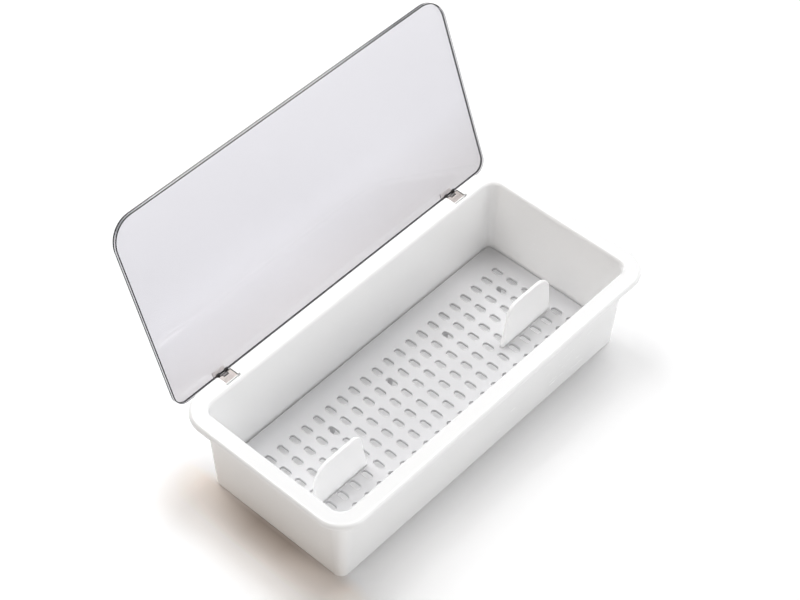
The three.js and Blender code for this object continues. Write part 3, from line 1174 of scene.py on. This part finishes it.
@dataclass
class Hinges:
    """Both clip hinges: strips rolled round a pin, one let into the rim, one on the lid."""

    tub: Tub
    place: float = 97.5
    width: float = 9.0
    setback: float = 1.6
    metal: float = 0.5
    bend_radius: float = 0.3
    pin_radius: float = 0.6
    pin_end_round: float = 0.15
    running_gap: float = 0.25
    knuckle_gap: float = 0.3
    middle_knuckle: float = 3.2
    grip: float = 2.6
    leaf_front: float = 5.8
    notch_gap: float = 0.3
    tongue_width: float = 5.0
    clinch: float = 2.4
    bead_places: tuple[float, float] = (1.6, 2.6)
    bead_width: float = 0.4
    bead_height: float = 0.3
    seat_gap: float = 0.35
    groove_gap: float = 1.3
    groove_width: float = 1.2
    groove_depth: float = 2.0
    groove_bend: float = 1.4
    roll: float = math.radians(280)
    edge_round: float = 0.08
    overrun: float = 5.0
    lid_gap: float = 0.3
    lid_thickness: float = 3.0
    past_pin: float = 0.6
    open_angle: float = math.radians(110.75)
    knuckle: float = field(init=False)
    leaf_top: float = field(init=False)
    pin_y: float = field(init=False)
    pin_z: float = field(init=False)
    sheet_low: float = field(init=False)

    def __post_init__(self) -> None:
        """Derives the pin's place from the rim and the knuckle's size."""
        self.knuckle = self.pin_radius + self.running_gap + self.metal
        self.leaf_top = self.tub.height + self.lid_gap - 2 * self.running_gap - self.metal
        self.pin_y = self.tub.mouth_width / 2 + self.tub.rim_width - self.setback
        self.pin_z = self.leaf_top - self.knuckle
        self.sheet_low = self.tub.height + self.lid_gap - self.pin_z

    def seat_tools(self, tub: Tub) -> list[Surface]:
        """Blocks to cut from the rim at x = 0: recess, notch for the knuckles, tongue slot.

        Args:
            tub: the tub that is cut.

        Returns:
            The closed cutting blocks.
        """
        half = self.width / 2 + self.seat_gap
        outside = tub.mouth_width / 2 + tub.rim_width + self.overrun
        above = tub.height + self.overrun
        below = tub.height - tub.lip_drop - self.overrun
        front = self.pin_y - self.leaf_front
        recess_floor = self.leaf_top - self.metal - self.running_gap
        notch = self.pin_y - self.knuckle - self.notch_gap
        slot = self.tongue_width / 2 + self.running_gap
        slot_back = front + self.metal + self.running_gap
        return [
            slab(half, front - self.seat_gap, outside, recess_floor, above),
            slab(half, notch, outside, below, above),
            slab(slot, front - self.running_gap, slot_back, below, above),
            self.groove_tool(tub, front - self.groove_gap, half + self.groove_gap / 2),
        ]

    def groove_tool(self, tub: Tub, front: float, half: float) -> Surface:
        """Cutting tool for the fine groove in front of a leaf, which turns back at its right end.

        Its plan is a straight line and a quarter circle, widened to both sides along the
        normal.

        Args:
            tub: the tub that is cut.
            front: Y of the groove's middle line.
            half: X of the groove's right end.

        Returns:
            The closed cutting tool.
        """
        bend = self.groove_bend
        turn = arc(half - bend, front + bend, bend, -QUARTER, 0.0, self.tub.round_steps)
        angle = np.linspace(-QUARTER, 0.0, len(turn))
        line = np.concatenate([[[-half, front]], turn])
        normal = np.stack([np.cos(angle), np.sin(angle)], axis=-1)
        normal = np.concatenate([normal[:1], normal]) * self.groove_width / 2
        plan = np.concatenate([line + normal, (line - normal)[::-1]])
        return prism(plan, tub.height - self.groove_depth, tub.height + self.overrun)

    def strip(self, path: "StripPath", low: float, high: float) -> Surface:
        """Carries the strip's rounded section along a bent path, between two places along X."""
        return path.carry(self.metal, low, high, self.edge_round)

    def open_up(self, surface: Surface) -> Surface:
        """Turns what is drawn closed about the pin to where it stands with the lid open."""
        return surface.turned_about_x(-self.open_angle).moved(y=self.pin_y, z=self.pin_z)

    def spans(self) -> tuple[list[tuple[float, float]], tuple[float, float], tuple[float, float]]:
        """Places along X of the two outer knuckles, the middle knuckle and the whole width.

        Returns:
            The two outer spans, the middle one and the whole one.
        """
        half = self.width / 2
        outer = (self.width - self.middle_knuckle) / 2 - self.knuckle_gap
        middle = self.middle_knuckle / 2
        return [(-half, outer - half), (half - outer, half)], (-middle, middle), (-half, half)

    def clip_strips(self) -> list[Surface]:
        """The clip: a web with a grip over the sheet, fingers under it, and a rolled tab.

        Returns:
            The strips, drawn with the lid shut about a pin at the origin.
        """
        outer, middle, whole = self.spans()
        bend = self.bend_radius + self.metal / 2
        over_up = self.sheet_low + self.lid_thickness + self.running_gap + self.metal / 2
        under_up = self.sheet_low - self.running_gap - self.metal / 2
        web = self.past_pin + self.running_gap + self.metal / 2
        run = self.grip + web - bend
        drop = over_up - under_up - 2 * bend
        roll_radius = self.knuckle - self.metal / 2

        def over() -> StripPath:
            """The grip over the sheet and the bend into the web."""
            return StripPath(-self.grip, over_up, 0.0).run(run).bend(bend, QUARTER)

        fingers = [over().run(drop).bend(bend, QUARTER).run(run) for _ in outer]
        tab = over().run(over_up - bend).bend(roll_radius, self.roll)
        strips = [self.strip(over().run(drop), *whole), self.strip(tab, *middle)]
        return strips + [self.strip(path, *span) for path, span in zip(fingers, outer)]

    def leaf_strips(self) -> list[Surface]:
        """The rim leaf: a flat plate, two rolled knuckles and a tongue clinched under the rim.

        Returns:
            The strips, drawn about a pin at the origin.
        """
        outer, _, whole = self.spans()
        bend = self.bend_radius + self.metal / 2
        up = self.knuckle - self.metal / 2
        clinch_up = self.tub.height - self.tub.rim_thickness - self.running_gap - self.metal / 2 - self.pin_z
        notched = self.leaf_front - self.knuckle - self.notch_gap
        plate = StripPath(-self.leaf_front, up, 0.0).run(notched)
        tongue = (
            StripPath(self.metal / 2 - self.leaf_front + self.clinch, clinch_up, 2 * QUARTER)
            .run(self.clinch - bend)
            .bend(bend, QUARTER)
            .run(up - clinch_up - 2 * bend)
            .bend(bend, QUARTER)
            .run(notched - self.metal / 2 - bend)
        )
        half_tongue = self.tongue_width / 2
        strips = [self.strip(plate, *whole), self.strip(tongue, -half_tongue, half_tongue)]
        for span in outer:
            rolled = StripPath(-self.leaf_front, up, 0.0).run(self.leaf_front)
            strips.append(self.strip(rolled.bend(self.knuckle - self.metal / 2, self.roll), *span))
        for place in self.bead_places:
            bead = StripPath(place - self.leaf_front, self.knuckle, 0.0).run(self.bead_width)
            strips.append(bead.carry(self.bead_height, *whole, self.edge_round))
        return strips

    def pin_surface(self) -> Surface:
        """The pin: circles of a profile carried along X, with rounded ends.

        Returns:
            The surface, about the origin.
        """
        half = self.width / 2
        soft = self.pin_end_round
        steps = self.tub.round_steps
        lead = arc(self.pin_radius - soft, soft - half, soft, -QUARTER, 0.0, steps)
        tail = arc(self.pin_radius - soft, half - soft, soft, 0.0, QUARTER, steps)
        rings = offset_rings(circle(4 * steps), np.concatenate([lead, tail]))
        return skin(np.roll(rings, 1, axis=-1))

    def build_strips(self, name: str, surfaces: list[Surface]) -> Object:
        """Joins overlapping strips, or the pin alone, into one closed piece.

        Args:
            name: name of the piece.
            surfaces: its closed parts.

        Returns:
            The piece, without a material.
        """
        first, *others = [mesh_object(f"{name}_{k}", [part]) for k, part in enumerate(surfaces)]
        work_in(first, others, Solid.JOIN)
        first.name = name
        return first

    def over(self, line: Vector) -> float:
        """How far a vector points up with the lid shut."""
        return line.y * math.sin(self.open_angle) + line.z * math.cos(self.open_angle)

    def height(self, face: MeshPolygon) -> float:
        """A face's height over the pin's axis with the lid shut, in millimetres."""
        return self.over(face.center / METRES - Vector((0.0, self.pin_y, self.pin_z)))

    def painted_shade_face(self, face: MeshPolygon) -> int:
        """1 for a face that is rolled round the pin or cut at the strip's side, which gets painted shade; 0
        for others.

        Args:
            face: the face, in its place in the frame.

        Returns:
            The place of its finish.
        """
        x, y, z = face.center / METRES
        to_pin = math.hypot(y - self.pin_y, z - self.pin_z)
        from_side = self.width / 2 - abs(abs(x) - self.place)
        return int(to_pin < self.knuckle + self.edge_round or from_side < self.edge_round)

    def painted_shade_on_clip(self, face: MeshPolygon) -> int:
        """2 (painted shade) as for a leaf and under the sheet, 1 (painted reflection) for the grip's face on
        the sheet, 0 for others.

        Args:
            face: the face, in its place in the frame.

        Returns:
            The place of its finish.
        """
        if self.height(face) < self.sheet_low or self.painted_shade_face(face):
            return 2
        above = self.height(face) > self.sheet_low + self.lid_thickness
        facing_sheet = -0.5
        return int(above and self.over(face.normal) < facing_sheet)

    def build(self) -> list[Object]:
        """Makes and dresses the leaf, clip and pin of both hinges.

        Returns:
            The six pieces.
        """
        made = []
        # the clip's faces take plain steel, painted reflection or painted shade
        clip_steels = (CLIP_STEEL_LIT, CLIP_INSIDE_REFLECTION, SHADE_STEEL)
        for side in Side:
            label = side.name.lower()
            x = side.value * self.place
            clip = [self.open_up(part).moved(x=x) for part in self.clip_strips()]
            leaf = [part.moved(x=x, y=self.pin_y, z=self.pin_z) for part in self.leaf_strips()]
            pin = self.pin_surface().moved(x=x, y=self.pin_y, z=self.pin_z)
            for name, node, slot, parts, body, steels, pick in (
                ("clip", "hinge_clip", "hinge_steel", clip, Body.LID, clip_steels, self.painted_shade_on_clip),
                ("leaf", "rim_leaf", "hinge_steel", leaf, Body.BOX, (LEAF_STEEL, SHADE_STEEL), self.painted_shade_face),
                ("pin", "hinge_pin", "pin_steel", [pin], Body.BOX, (PIN_STEEL,), lambda face: 0),
            ):
                piece = self.build_strips(f"{name}_{label}", parts)
                dress_faces(piece.data, steels, pick)
                settle(piece, body, slot, [f"{node}_{label}"])
                made.append(piece)
        return made


class StripPath:
    """The middle line of a bent strip in the plane across the hinge, built run by run."""

    def __init__(self, across: float, up: float, heading: float) -> None:
        """Starts at a place, facing a heading in radians.

        Args:
            across: Y of the start.
            up: Z of the start.
            heading: 0 points along +Y.
        """
        self.points = np.array([[across, up]])
        self.headings = np.array([heading])
        self.bend_steps = 10
        self.round_steps = 3
        self.roll_chord = math.radians(8)

    def run(self, length: float) -> "StripPath":
        """Goes straight on by a length.

        Args:
            length: the length.

        Returns:
            The same path.
        """
        heading = self.headings[-1]
        step = length * np.array([math.cos(heading), math.sin(heading)])
        self.points = np.vstack([self.points, self.points[-1] + step])
        self.headings = np.append(self.headings, heading)
        return self

    def bend(self, radius: float, angle: float) -> "StripPath":
        """Turns right on a circle: each point is the centre + radius times the left normal.

        Args:
            radius: radius of the middle line.
            angle: how far it turns.

        Returns:
            The same path.
        """
        steps = max(self.bend_steps, math.ceil(angle / self.roll_chord))
        heading = self.headings[-1] - np.linspace(0.0, angle, steps + 1)[1:]
        start = self.headings[-1]
        centre = self.points[-1] - radius * np.array([-math.sin(start), math.cos(start)])
        normal = np.stack([-np.sin(heading), np.cos(heading)], axis=-1)
        self.points = np.vstack([self.points, centre + radius * normal])
        self.headings = np.append(self.headings, heading)
        return self

    def carry(self, thickness: float, low: float, high: float, edge_round: float) -> Surface:
        """Carries a rounded rectangular section along the path.

        A point is the path's point + a times the left normal + b along X, where (a, b) runs
        round the section.

        Args:
            thickness: size of the section along the normal.
            low: lowest place along X.
            high: highest place along X.
            edge_round: radius of the section's corners.

        Returns:
            The closed strip.
        """
        half = thickness / 2
        centre, radius, direction = corner_loop(
            (high - low) / 2, -half, half, edge_round, edge_round, self.round_steps
        )
        section = centre + radius * direction
        normal = np.stack([-np.sin(self.headings), np.cos(self.headings)], axis=-1)
        x = np.broadcast_to((low + high) / 2 + section[:, 0], (len(self.points), len(section)))
        plane = self.points[:, None] + section[None, :, 1:] * normal[:, None]
        return skin(np.concatenate([x[..., None], plane], axis=-1)[::-1])


@dataclass
class LidSheet:
    """The clear sheet with round corners and softly broken, polished edges."""

    hinges: Hinges
    length: float = 264.0
    depth: float = 122.8
    front_corner: float = 16.0
    back_corner: float = 8.0
    edge_round: float = 0.4
    # widths of the rings that carry the painted shade lines
    near_line: float = 0.15
    far_line: float = 1.0
    band_share: float = 0.25
    corner_steps: int = 24
    round_steps: int = 4

    def surface(self) -> Surface:
        """The closed sheet, drawn shut about the pin: outlines offset along a rounded edge.

        A narrow ring of the near face and a border of the edge's flat carry the two painted shade
        lines that the edge shows.

        Returns:
            The surface.
        """
        back = self.hinges.past_pin
        loop = corner_loop(
            self.length / 2, back - self.depth, back, self.front_corner, self.back_corner,
            self.corner_steps,
        )
        low = self.hinges.sheet_low
        high = low + self.hinges.lid_thickness
        soft = self.edge_round
        profile = np.concatenate([
            [[-soft - self.near_line, low]],
            arc(-soft, low + soft, soft, -QUARTER, 0.0, self.round_steps),
            [[0.0, high - soft - self.far_line]],
            arc(-soft, high - soft, soft, 0.0, QUARTER, self.round_steps),
        ])
        return skin(offset_rings(loop, profile))

    def dress(self, mesh: Mesh) -> None:
        """Gives every face its finish, told apart by area and by place across the sheet.

        The flat of the polished edge is the band of painted light. Its border, the rounds and the
        ring of the near face are the lines of painted shade.

        Args:
            mesh: the sheet's mesh, standing open.
        """
        largest = max(face.area for face in mesh.polygons)
        middle = self.hinges.sheet_low + (self.hinges.lid_thickness - self.far_line) / 2
        reach = self.hinges.lid_thickness / 2 - self.edge_round

        def pick(face: MeshPolygon) -> int:
            """0 for the two large faces, 2 for the painted light band, 1 for the painted shade lines.

            Args:
                face: the face.

            Returns:
                The place of its finish.
            """
            if face.area > largest / 2:
                return 0
            return 2 if abs(self.hinges.height(face) - middle) < self.band_share * reach else 1

        dress_faces(mesh, (LID_CLEAR, LID_SHADE_LINE, LID_BAND), pick)

    def build(self) -> Object:
        """Makes and dresses the sheet, which is clear enough to cast no shadow of its own.

        Returns:
            The sheet.
        """
        sheet = mesh_object("clear_lid", [self.hinges.open_up(self.surface())])
        self.dress(sheet.data)
        sheet.visible_shadow = False
        settle(sheet, Body.LID, "lid_sheet", ["lid_sheet"])
        return sheet


# Studio


def towards(azimuth: float, elevation: float) -> Vector:
    """Unit vector towards an azimuth, counted from +X to +Y, and an elevation, in degrees.

    Args:
        azimuth: angle round the box.
        elevation: angle over the floor.

    Returns:
        The vector.
    """
    around, above = math.radians(azimuth), math.radians(elevation)
    level = math.cos(above)
    return Vector((level * math.cos(around), level * math.sin(around), math.sin(above)))


@dataclass(frozen=True)
class SoftLamp:
    """A square area lamp that faces the box, in metres, degrees and watts.

    Glossy faces show it if it is mirrored.
    """

    name: str
    azimuth: float
    elevation: float
    power: float
    colour: Rgb = (1.0, 1.0, 1.0)
    mirrored: bool = True
    distance: float = 3.0
    size: float = 1.5

    def build(self) -> Object:
        """Makes the lamp.

        Returns:
            The lamp.
        """
        light = bpy.data.lights.new(self.name, "AREA")
        light.shape = "SQUARE"
        light.size = self.size
        light.energy = self.power
        light.color = self.colour
        lamp = bpy.data.objects.new(self.name, light)
        lamp.visible_glossy = self.mirrored
        bpy.context.scene.collection.objects.link(lamp)
        place = self.distance * towards(self.azimuth, self.elevation)
        turn = (-place).to_track_quat("-Z", "Y").to_matrix().to_4x4()
        lamp.matrix_world = Matrix.Translation(place) @ turn
        return lamp


@dataclass(frozen=True)
class PaintedFloorShadow:
    """A painted shadow on the floor beside one wall, with reaches in millimetres.

    It rises across the wall's foot, falls outwards and falls towards the wall's ends. One that
    is seen only leaves the light that the floor throws on the box as it is.
    """

    colour: Rgb
    across: Axis
    along: Axis
    rise: tuple[float, float]
    fall: tuple[float, float]
    ends: tuple[float, float]
    strength: float = 1.0
    seen_only: bool = False

    def share(self, shader: Shader) -> NodeSocket:
        """The output with the painted shadow's share at each place.

        Args:
            shader: helper on the floor's tree.

        Returns:
            The output.
        """
        axes = shader.axes()
        risen = shader.ramp(axes[self.across.value], metres(self.rise), (0.0, self.strength))
        fallen = shader.ramp(axes[self.across.value], metres(self.fall), (self.strength, 0.0))
        from_middle = shader.maths("ABSOLUTE", axes[self.along.value])
        ended = shader.ramp(from_middle, metres(self.ends), (1.0, 0.0))
        share = shader.maths("MULTIPLY", shader.maths("MINIMUM", risen, fallen), ended)
        if self.seen_only:
            path = shader.node("ShaderNodeLightPath").outputs
            share = shader.maths("MULTIPLY", share, path["Is Camera Ray"])
        return share


@dataclass
class Studio:
    """Pale floor with painted shadows and painted light beside the box, even world light, soft lamps and the
    camera at the photograph's place.
    """

    focal_pixels: float = 2105.977
    picture_width: float = 800.0
    sensor: float = 36.0
    azimuth: float = -48.743
    elevation: float = 48.372
    roll: float = 1.415
    distance: float = 1214.75
    slide_right: float = -12.75
    slide_up: float = 20.25
    aim_height: float = 67.0
    floor_size: float = 12000.0
    white: Rgb = (1.0, 1.0, 1.0)
    floor_neutral: Rgb = (0.98, 0.98, 0.985)
    floor_bounce: float = 0.88
    floor_lift: float = 0.07
    # painted light: the seen floor is lifted more left of the box, lightening the outer part of its shadow
    # there
    painted_left_lift: float = 0.22
    painted_lift_reach: tuple[float, float] = (-136.0, -168.0)
    horizon_reach: tuple[float, float] = (500.0, 1200.0)
    # painted shadows: a warm one and a dark one at the left wall's foot, and a grey one at the front wall's
    # foot
    painted_floor_shadows: tuple[PaintedFloorShadow, ...] = (
        PaintedFloorShadow((0.98, 0.89, 0.82), Axis.X, Axis.Y, (-116.0, -124.0), (-130.0, -165.0), (58.0, 80.0)),
        PaintedFloorShadow(
            (0.42, 0.32, 0.25), Axis.X, Axis.Y, (-116.0, -124.0), (-123.5, -146.0), (12.0, 60.0),
            seen_only=True,
        ),
        PaintedFloorShadow(
            (0.45, 0.45, 0.455), Axis.Y, Axis.X, (-44.0, -52.0), (-53.0, -75.0), (105.0, 128.0),
            strength=0.35, seen_only=True,
        ),
    )
    world_strength: float = 0.01
    lamps: tuple[SoftLamp, ...] = (
        SoftLamp("right_key", 0.0, 65.0, 43.5),
        SoftLamp("back_key", 90.0, 65.0, 40.5),
        SoftLamp("front_fill", 280.0, 15.0, 35.5),
        SoftLamp("left_fill", 180.0, 15.0, 18.5, (1.0, 0.92, 0.84)),
        SoftLamp("rear_fill", 45.0, 15.0, 11.0, mirrored=False),
    )

    def camera(self) -> Object:
        """Camera at the fitted place.

        It looks along the line from azimuth and elevation to the middle of the mouth, slid
        right and up in its own plane, and rolled about that line.

        Returns:
            The camera.
        """
        around, tilt = math.radians(self.azimuth), math.radians(self.roll)
        back = towards(self.azimuth - math.degrees(QUARTER), self.elevation)
        right = Vector((math.cos(around), math.sin(around), 0.0))
        up = right.cross(-back)
        level_right = right * math.cos(tilt) + up * math.sin(tilt)
        level_up = up * math.cos(tilt) - right * math.sin(tilt)
        place = Vector((0.0, 0.0, self.aim_height)) + back * self.distance
        place += level_right * self.slide_right + level_up * self.slide_up
        data = bpy.data.cameras.new("photo_camera")
        data.sensor_width = self.sensor
        data.lens = self.focal_pixels * self.sensor / self.picture_width
        camera = bpy.data.objects.new("photo_camera", data)
        turn = Matrix((level_right, level_up, back)).transposed().to_4x4()
        camera.matrix_world = Matrix.Translation(place * METRES) @ turn
        bpy.context.scene.collection.objects.link(camera)
        bpy.context.scene.camera = camera
        return camera

    def seen_ray(self, shader: Shader) -> NodeSocket:
        """1 for rays from the camera, in a mirror or through glass, and 0 for light on the box.

        Args:
            shader: helper on the tree.

        Returns:
            The output.
        """
        path = shader.node("ShaderNodeLightPath").outputs
        mirrored = shader.maths("MAXIMUM", path["Is Camera Ray"], path["Is Glossy Ray"])
        return shader.maths("MAXIMUM", mirrored, path["Is Transmission Ray"])

    def floor(self) -> Object:
        """The floor, which takes the shadow, has painted shadows at the walls' feet and painted light left
        of the box, and shows white where there is none.

        Returns:
            The floor.
        """
        plan = self.floor_size / 2 * np.array([[-1, -1, 0], [1, -1, 0], [1, 1, 0], [-1, 1, 0]])
        floor = mesh_object("floor", [Surface(plan, [[0, 1, 2, 3]])])
        material = bpy.data.materials.new("pale_floor")
        material.use_nodes = True
        nodes = material.node_tree.nodes
        nodes.remove(nodes["Principled BSDF"])
        shader = Shader(material.node_tree)
        seen = self.seen_ray(shader)
        share = shader.ramp(seen, (0.0, 1.0), (self.floor_bounce, 1.0))
        colour = self.floor_neutral
        # the painted shadows darken and warm the floor's colour beside the walls
        for tint in self.painted_floor_shadows:
            colour = shader.blend(tint.share(shader), colour, tint.colour)
        dimmed = shader.node("ShaderNodeVectorMath", operation="SCALE", Vector=colour, Scale=share)
        matt = shader.node("ShaderNodeBsdfDiffuse", Color=dimmed.outputs[0])
        # painted light lifts the seen floor left of the box; far away the lift makes the floor plain white
        lifts = (self.floor_lift, self.painted_left_lift)
        rise = shader.ramp(shader.axes()["X"], metres(self.painted_lift_reach), lifts)
        away = shader.node("ShaderNodeVectorMath", operation="LENGTH", Vector=shader.place())
        far = shader.ramp(away.outputs["Value"], metres(self.horizon_reach))
        lift = shader.maths("MULTIPLY", seen, shader.maths("MAXIMUM", rise, far))
        glow = shader.node("ShaderNodeEmission", Color=self.white, Strength=lift)
        both = shader.node("ShaderNodeAddShader")
        for socket, source in zip(both.inputs, (matt, glow)):
            feed(socket, source.outputs[0])
        put(nodes["Material Output"], Surface=both.outputs[0])
        floor.data.materials.append(material)
        return floor

    def world(self) -> None:
        """Even light from all round, shown as plain white where it is seen."""
        world = bpy.data.worlds.new("even_world")
        world.use_nodes = True
        bpy.context.scene.world = world
        shader = Shader(world.node_tree)
        strength = shader.ramp(self.seen_ray(shader), (0.0, 1.0), (self.world_strength, 1.0))
        put(world.node_tree.nodes["Background"], Color=self.white, Strength=strength)

    def build(self) -> None:
        """Sets the view, the world, the floor, the lamps and the camera."""
        bpy.context.scene.view_settings.view_transform = "Standard"
        self.world()
        self.floor()
        for lamp in self.lamps:
            lamp.build()
        self.camera()


def main() -> None:
    """Builds every sub-assembly in order and reports it."""
    logging.basicConfig(level=logging.INFO, format="%(name)s: %(message)s")
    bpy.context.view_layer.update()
    tub = Tub()
    hinges = Hinges(tub)
    tub.build(hinges)
    DrainTray(tub).build()
    LidSheet(hinges).build()
    hinges.build()
    Studio().build()


if __name__ == "__main__":
    main()
